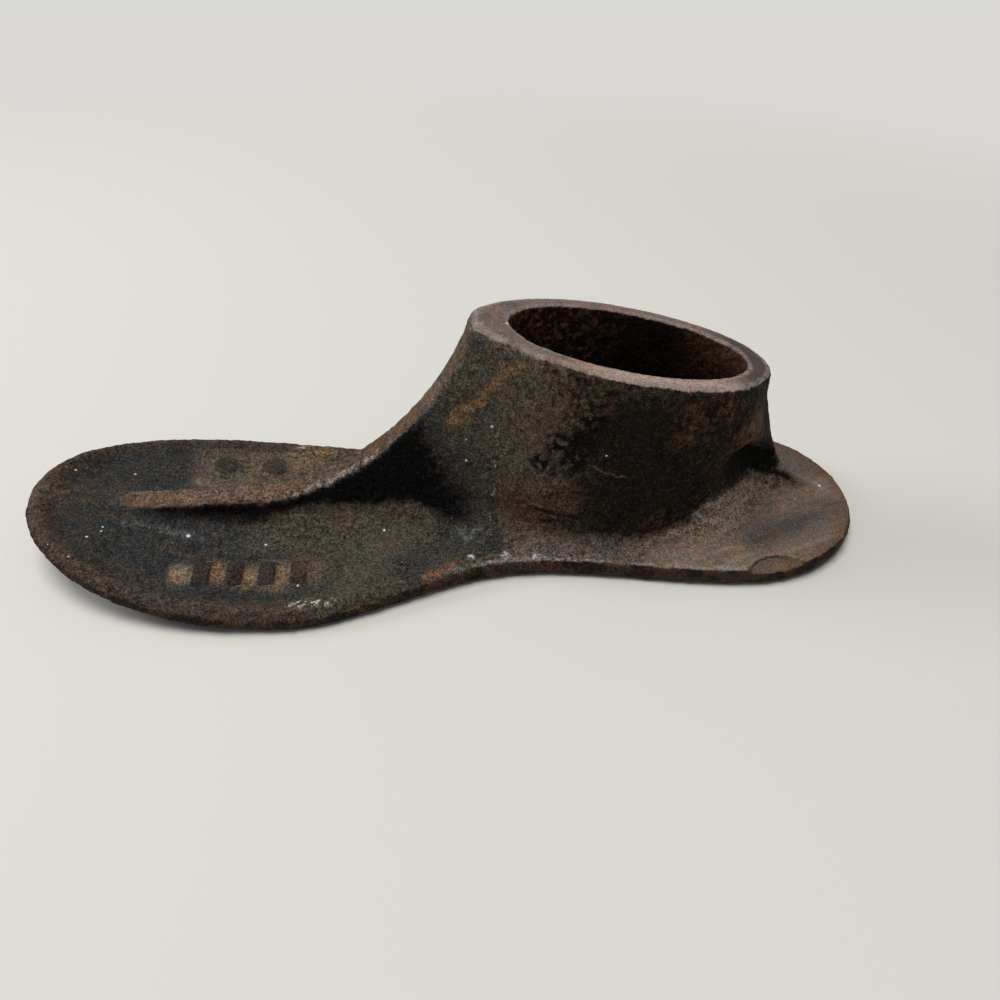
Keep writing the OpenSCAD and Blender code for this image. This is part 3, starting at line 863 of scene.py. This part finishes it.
def socket_wall(iron):
    """Grey-brown wall at the front, near black further back, partly as painted shade, with soot, rust,
    creases and a scratch.
    """
    foot = iron.plus(iron.times(iron.rise(iron.x, 44, 60), 7.5), iron.times(iron.blotch, 5.0))
    above_foot = iron.plus(iron.less(iron.lift, foot), iron.times(iron.less(iron.mottle, 0.5), 6.0))
    wall = iron.rise(above_foot, -1, 2.5)
    back = iron.rise(iron.uneven(iron.x, 26.0), 26, 44)
    # Near black further back, partly the wall's own colour and partly painted shade
    iron.lay(iron.blend(back, WALL_GREY, WALL_BROWN_AND_SHADE), wall)
    iron.lay(WALL_GREY, wall, back, iron.rise(iron.lift, 36, 45), iron.mottled(0.35, 0.6), strength=0.6)
    iron.lay(WALL_RED, wall, iron.spots(WALL_RED_SPOTS, 0.9, iron.ragged), strength=0.7)
    rust = iron.most(iron.spots(WALL_RUST_SPOTS, 0.9, iron.ragged),
                     iron.spot(*FRONT_RUST, iron.ragged))
    iron.lay(WALL_RUST, wall, rust, iron.mottled(0.46, 0.62), strength=0.5)
    pitted = iron.plus(iron.times(iron.rise(iron.x, 10, 22), 0.5), 0.35)
    iron.lay(SOOT_AND_SHADE, wall, iron.mottled(0.46, 0.36), pitted)
    iron.lay(WALL_RUST, wall, back, iron.rise(iron.grain, 0.52, 0.68),
             iron.plus(iron.times(iron.rise(iron.x, 46, 60), 0.2), 0.12))
    soot = iron.most(iron.spots(WALL_SOOT_SPOTS, 0.7, iron.ragged),
                     iron.spot(*FRONT_SOOT, iron.ragged))
    iron.lay(SOOT_AND_SHADE, soot, iron.mottled(0.58, 0.48))
    creases = iron.most(iron.stroke(*LONG_CREASE, iron.frayed), iron.stroke(*SHORT_CREASE, iron.frayed))
    iron.lay(SOOT_AND_SHADE, creases, strength=0.9)
    scratch = iron.line(SCRATCH, 1, iron.frayed)
    iron.lay(DUST, scratch, strength=0.4)


def flanks(iron, off):
    """Black flanks of the instep rib, partly painted shade, greyer towards the socket, with a rusty crease up
    to the rim.
    """
    side = iron.rise(iron.plus(iron.math("ABSOLUTE", off), iron.times(iron.mottle, 2.0)), 3.8, 4.4)
    loose = iron.less(iron.times(iron.plus(iron.blotch, iron.mottle), 4.0), 4.0)
    foot = iron.plus(iron.times(iron.between(iron.x, -58, -28, -14, -2), 4.2), 2.2)
    high = iron.rise(iron.plus(iron.less(iron.lift, foot), loose), -1, 1.5)
    ahead = iron.plus(iron.plus(iron.x, iron.times(iron.z, 0.45)), loose)
    before_socket = iron.rise(iron.plus(iron.x, loose), 11, 3)
    iron.lay(FLANK_GREY, side, high, iron.between(ahead, 2, 6, 24, 30), before_socket)
    # Black towards the rib's front, partly painted shade under the crest
    iron.lay(BLACK_IRON, side, high, iron.rise(ahead, 16, 5), strength=0.7)
    frayed_ahead = iron.plus(ahead, iron.times(iron.less(iron.mottle, 0.5), 14.0))
    iron.lay(FLANK_BLACK_AND_SHADE, side, high, iron.rise(frayed_ahead, 7, 0), iron.rise(iron.x, -80, -68))
    under = iron.between(iron.plus(off, loose), -6.5, -4.8, -3.4, -2.6)
    iron.lay(FLANK_BLACK_AND_SHADE, under, iron.between(iron.x, -78, -66, -48, -40), strength=0.75)
    # Painted shade in the crease at the rib's foot
    iron.lay(FLANK_BLACK_AND_SHADE, iron.spot(*FLANK_SHADE_SPOT, iron.ragged), strength=0.8)
    iron.lay(BLACK_IRON, iron.spot(*RIM_CORNER, iron.ragged), strength=0.7)
    iron.lay(LIME, iron.line(SEAM, 1.1, iron.frayed), iron.mottled(0.5, 0.62), strength=0.6)
    crease = iron.line(RIM_CREASE, 3.4, iron.frayed)
    lower = iron.stroke(*LOW_CREASE, iron.frayed)
    iron.lay(CREASE_RUST, iron.most(crease, lower), iron.mottled(0.22, 0.42), strength=0.85)


def crest(iron, off):
    """Rusty crest of the instep rib, brown up the instep, with a painted highlight along its near edge."""
    rough_off = iron.plus(iron.math("ABSOLUTE", off), iron.times(iron.mottle, 2.0))
    top = iron.times(iron.rise(rough_off, 4.5, 3.9), iron.rise(iron.lift, 0.9, 2.2), iron.rise(iron.x, 5, -2))
    start = iron.rise(iron.uneven(iron.x, 14.0), -80, -70)
    iron.lay(RIDGE_RUST, top, start, iron.mottled(0.28, 0.52))
    iron.lay(RIDGE_ORANGE, top, start, iron.blotched(0.5, 0.6), iron.rise(iron.x, -46, -66), strength=0.6)
    along = iron.uneven(iron.x, 10.0)
    iron.lay(RIDGE_PINK, top, iron.between(along, -66, -58, -44, -34), iron.mottled(0.46, 0.6), strength=0.7)
    iron.lay(CREST_BROWN, top, iron.rise(iron.uneven(iron.x, 12.0), -36, -22), strength=0.9)
    iron.lay(RIDGE_ORANGE, top, iron.spot(*CREST_PATCH, iron.ragged), strength=0.5)
    # Painted highlight along the crest's near edge
    near_edge_highlight = iron.times(iron.between(off, -3.8, -3.2, -2.4, -1.4),
                           iron.between(iron.x, -46, -38, -22, -14))
    iron.lay(EDGE_SHINE, near_edge_highlight, iron.rise(iron.lift, 1.5, 3), iron.mottled(0.44, 0.58), strength=0.8)
    iron.lay(SOOT_AND_SHADE, top, iron.mottled(0.4, 0.3), strength=0.6)


def across(point, side):
    """The point itself, or its mirror image over the last's middle where the side is 1."""
    x, y, z = point
    return (x, MIDDLE_Y + side * (MIDDLE_Y - y), z)


def heel_hollows(iron):
    """Painted shade in the hollows beside the heel rib, and the brown buttress above them."""
    loose = iron.less(iron.times(iron.mottle, 6.0), 3.0)
    above = iron.rise(iron.plus(iron.plus(iron.z, iron.times(iron.x, 0.42)), loose), 42.5, 45)
    for side in (-1, 1):
        buttress = iron.spot(across(HEEL_BUTTRESS, side), 9, 0.9, iron.ragged)
        iron.lay(WALL_RUST, buttress, iron.mottled(0.3, 0.6), strength=0.85)
        pockets = [(across(middle, side), radius) for middle, radius in HEEL_POCKETS]
        groove = [across(point, side) for point in HEEL_GROOVE]
        # Painted shade in the pockets and the groove under the buttress
        hollow = iron.most(iron.spots(pockets, 0.5, iron.frayed), iron.stroke(*groove, 6, iron.frayed))
        iron.lay(SOOT_AND_SHADE, hollow, above)
        # Dark streak down the rib's back, partly painted shadow between the wall and the rib
        streak = [across(point, side) for point in HEEL_STREAK]
        iron.lay(SOOT_AND_SHADE, iron.line(streak, 5, iron.frayed), strength=0.9)
    crown = iron.plus(iron.math("ABSOLUTE", iron.less(iron.y, MIDDLE_Y)), iron.times(iron.mottle, 1.6))
    iron.lay(HEEL_GREY, iron.rise(crown, 3.4, 2.4), iron.rise(iron.x, 65, 76),
             iron.between(iron.lift, 0.5, 1.5, 12, 30), strength=0.85)


def rim_and_bore(iron):
    """Smooth pinkish rim, and a bore painted nearly black as shade, with a painted patch of light in brown at
    its back.
    """
    along = iron.math("DIVIDE", iron.less(iron.x, BORE_MIDDLE[0]), BORE_HALF[0])
    aside = iron.math("DIVIDE", iron.less(iron.y, BORE_MIDDLE[1]), BORE_HALF[1])
    inside = iron.plus(iron.times(along, along), iron.times(aside, aside))
    bore = iron.times(iron.rise(inside, 1.07, 1.0), iron.rise(iron.z, 2.5, 3.5))
    # Painted shade in the bore
    iron.lay(BORE_SHADE_BLACK, bore)
    high = iron.rise(iron.lift, 24, 42)
    iron.lay(BORE_RUST, bore, high, iron.rise(iron.x, 44, 24), iron.mottled(0.48, 0.62))
    # Painted light: a brown lit patch high on the bore's back wall
    iron.lay(BORE_LIT_BROWN, bore, iron.rise(iron.x, 50, 62), high, strength=0.65)
    rim = iron.times(iron.rise(iron.facing[2], 0.45, 0.85), iron.rise(iron.lift, RIM_LIFT - 3, RIM_LIFT))
    pink = iron.rise(iron.uneven(iron.x, 20.0), 16, 34)
    iron.lay(iron.blend(pink, RIM_LILAC, RIM_PINK), rim)
    iron.lay(RIM_DARK, rim, iron.blotched(0.5, 0.66), strength=0.5)
    # The near side of the rim is lighter, partly wear and partly painted highlight
    iron.lay(RIM_WEAR_AND_HIGHLIGHT, rim, iron.rise(iron.y, -9, -14), iron.between(iron.x, 16, 30, 56, 64), strength=0.8)
    iron.lay(RIM_DARK, rim, iron.rise(iron.x, 57, 66), strength=0.95)
    # Painted highlight on the rim's rounded edges
    iron.lay(EDGE_SHINE, rim, iron.rise(iron.hollow, -0.12, -0.3), iron.mottled(0.3, 0.6), strength=0.7)
    return rim


def weathered_iron():
    """Old black casting skin, worn to brown along its edges, rusty in places, dusty in its corners, with
    painted shade and highlights.
    """
    iron = IronFinish("Weathered cast iron")
    bend = iron.math("DIVIDE", iron.most(iron.less(INSTEP_X, iron.x), 0.0), INSTEP_X - TOE_X)
    off_crest = iron.less(iron.less(iron.y, MIDDLE_Y), iron.times(bend, bend, CREST_BEND))

    forepart(iron)
    raised_marks(iron)
    waist(iron)
    heel_top = heel(iron)
    socket_wall(iron)
    flanks(iron, off_crest)
    crest(iron, off_crest)
    heel_hollows(iron)
    edges(iron)
    rim = rim_and_bore(iron)

    # Painted shade, with some dirt, in the corners and hollows, then the grain of the sand with its pits,
    # drift of hue and painted glints
    iron.lay(SOOT_AND_SHADE, iron.rise(iron.hollow, 0.12, 0.4), iron.rest(rim), strength=0.45)
    calm = iron.rise(iron.noise(7, 3), 0.6, 0.4)
    smooth = iron.most(iron.times(rim, 0.6), iron.times(heel_top, 0.55))
    rough = iron.times(iron.rest(smooth), iron.rest(iron.times(calm, 0.5)))
    tones = iron.blend(iron.rise(iron.grain, 0.36, 0.64), GRAIN_DARK, GRAIN_LIGHT)
    iron.colour = iron.blend(rough, iron.colour, tones, "MULTIPLY")
    fine_tones = iron.blend(iron.rise(iron.fine, 0.36, 0.64), FINE_DARK, FINE_LIGHT)
    even = iron.most(iron.times(rim, 0.5), iron.times(heel_top, 0.4))
    iron.colour = iron.blend(iron.rest(even), iron.colour, fine_tones, "MULTIPLY")
    iron.colour = iron.blend(iron.times(iron.specks(1.0, 0.45, 0.3), rough), iron.colour, PIT, "MULTIPLY")
    hue = iron.blend(iron.rise(iron.noise(2.8, 3), 0.38, 0.62), WARM, COLD)
    iron.colour = iron.blend(1.0, iron.colour, hue, "MULTIPLY")
    # Painted glints of light on the fine grain, kept off the heel's top
    iron.lay(GLINT, iron.rise(iron.fine, 0.52, 0.8), iron.rest(heel_top), strength=0.1)
    dusty = iron.times(iron.spot(*FOOT_DUST, iron.ragged), iron.rise(iron.lift, 0.4, 1.5))
    iron.lay(LIME, dusty, iron.specks(0.8, 0.3, 0.3), strength=0.6)
    iron.lay(LIME, iron.spots(FLECKS, 0.4))
    iron.lay(LIME, iron.spots(LIME_CLUSTERS, 0.7, iron.frayed), iron.mottled(0.42, 0.58), strength=0.85)
    iron.lay(LIME, iron.specks(4, 0.045, 0.4), iron.rise(iron.lift, 9, 5), iron.rise(iron.lift, -0.6, 0),
             strength=0.8)

    iron.give(iron.shader.inputs["Base Color"], iron.colour)
    roughness = iron.plus(iron.times(iron.grain, GRAIN_ROUGHNESS), LEAST_ROUGHNESS)
    iron.give(iron.shader.inputs["Roughness"], roughness)
    iron.give(iron.shader.inputs["Specular IOR Level"], SPECULAR)
    bump = iron.tree.nodes.new("ShaderNodeBump")
    iron.give(bump.inputs["Height"], iron.times(iron.plus(iron.grain, iron.times(iron.mottle, 0.8)), rough))
    iron.give(bump.inputs["Distance"], RELIEF)
    iron.give(iron.shader.inputs["Normal"], bump.outputs["Normal"])
    return iron.material


def shows_backdrop(tree):
    """1 for rays from the camera and for those that gloss or glass send on."""
    rays = tree.nodes.new("ShaderNodeLightPath")
    either = tree.nodes.new("ShaderNodeMath")
    either.operation = "MAXIMUM"
    tree.links.new(rays.outputs["Is Camera Ray"], either.inputs[0])
    tree.links.new(rays.outputs["Is Glossy Ray"], either.inputs[1])
    any_of_them = tree.nodes.new("ShaderNodeMath")
    any_of_them.operation = "MAXIMUM"
    tree.links.new(either.outputs[0], any_of_them.inputs[0])
    tree.links.new(rays.outputs["Is Transmission Ray"], any_of_them.inputs[1])
    return any_of_them.outputs[0]


def mix_shaders(tree, share, first, second, output):
    """Gives the output the first shader, and the second one as far as the share says."""
    mix = tree.nodes.new("ShaderNodeMixShader")
    tree.links.new(share, mix.inputs[0])
    tree.links.new(first.outputs[0], mix.inputs[1])
    tree.links.new(second.outputs[0], mix.inputs[2])
    tree.links.new(mix.outputs[0], tree.nodes[output].inputs["Surface"])


def pale_floor():
    """Floor that keeps the object's shadow and runs into the backdrop further out."""
    shape = bmesh.new()
    bmesh.ops.create_grid(shape, x_segments=1, y_segments=1, size=FLOOR_HALF)
    mesh = bpy.data.meshes.new("Floor")
    shape.to_mesh(mesh)
    shape.free()
    paint = Finish("Pale floor")
    paint.give(paint.shader.inputs["Base Color"], FLOOR_COLOUR)
    paint.give(paint.shader.inputs["Roughness"], FLOOR_ROUGHNESS)
    far = paint.tree.nodes.new("ShaderNodeEmission")
    far.inputs["Color"].default_value = BACKDROP
    fade = paint.rise(paint.vector("LENGTH", paint.place), *FLOOR_FADE)
    share = paint.times(fade, shows_backdrop(paint.tree))
    mix_shaders(paint.tree, share, paint.shader, far, "Material Output")
    mesh.materials.append(paint.material)
    return new_object("Floor", mesh)


def studio_world():
    """Even light from all round, and the backdrop that the camera sees."""
    world = bpy.data.worlds.new("Studio")
    world.use_nodes = True
    sky = world.node_tree.nodes["Background"]
    sky.inputs["Color"].default_value = SKY_COLOUR
    sky.inputs["Strength"].default_value = SKY_STRENGTH
    backdrop = world.node_tree.nodes.new("ShaderNodeBackground")
    backdrop.inputs["Color"].default_value = BACKDROP
    mix_shaders(world.node_tree, shows_backdrop(world.node_tree), sky, backdrop, "World Output")
    return world


def soft_lamp(name, place, aim, size, power, colour):
    lamp = bpy.data.lights.new(name, "AREA")
    lamp.shape = "RECTANGLE"
    lamp.size = size[0]
    lamp.size_y = size[1]
    lamp.energy = power
    lamp.color = colour
    holder = bpy.data.objects.new(name, lamp)
    bpy.context.scene.collection.objects.link(holder)
    holder.location = place
    holder.rotation_euler = (Vector(aim) - Vector(place)).to_track_quat("-Z", "Y").to_euler()


casting = smooth_skin()
outline_distance = edge_distances(casting)
weather_skin(casting, outline_distance)
chip_heel(casting)
mark_skin(casting, outline_distance)
iron_finish = weathered_iron()
for node_name, node_shape in part_casting(casting).items():
    cast = casting_piece(node_name, node_shape)
    cast.data.materials.clear()
    cast.data.materials.append(iron_finish)
bpy.data.meshes.remove(casting)

floor = pale_floor()

bpy.context.scene.world = studio_world()
soft_lamp("Top light", place=(-0.25, -0.08, 1.55), aim=(0, 0.02, 0), size=(1.0, 0.8), power=18,
          colour=(1.0, 0.98, 0.95))
soft_lamp("Side light", place=(-1.1, 0.3, 0.6), aim=(0, 0, 0), size=(0.6, 0.4), power=6,
          colour=(0.95, 0.97, 1.0))

# Camera
view = bpy.data.cameras.new("Camera")
view.lens = CAMERA_LENS
view.sensor_width = CAMERA_SENSOR
view.clip_start = CAMERA_CLIP
camera = bpy.data.objects.new("Camera", view)
bpy.context.scene.collection.objects.link(camera)
camera.location = CAMERA_AT
camera.rotation_euler = [math.radians(a) for a in CAMERA_TURN]
bpy.context.scene.camera = camera
bpy.context.scene.view_settings.view_transform = "Standard"
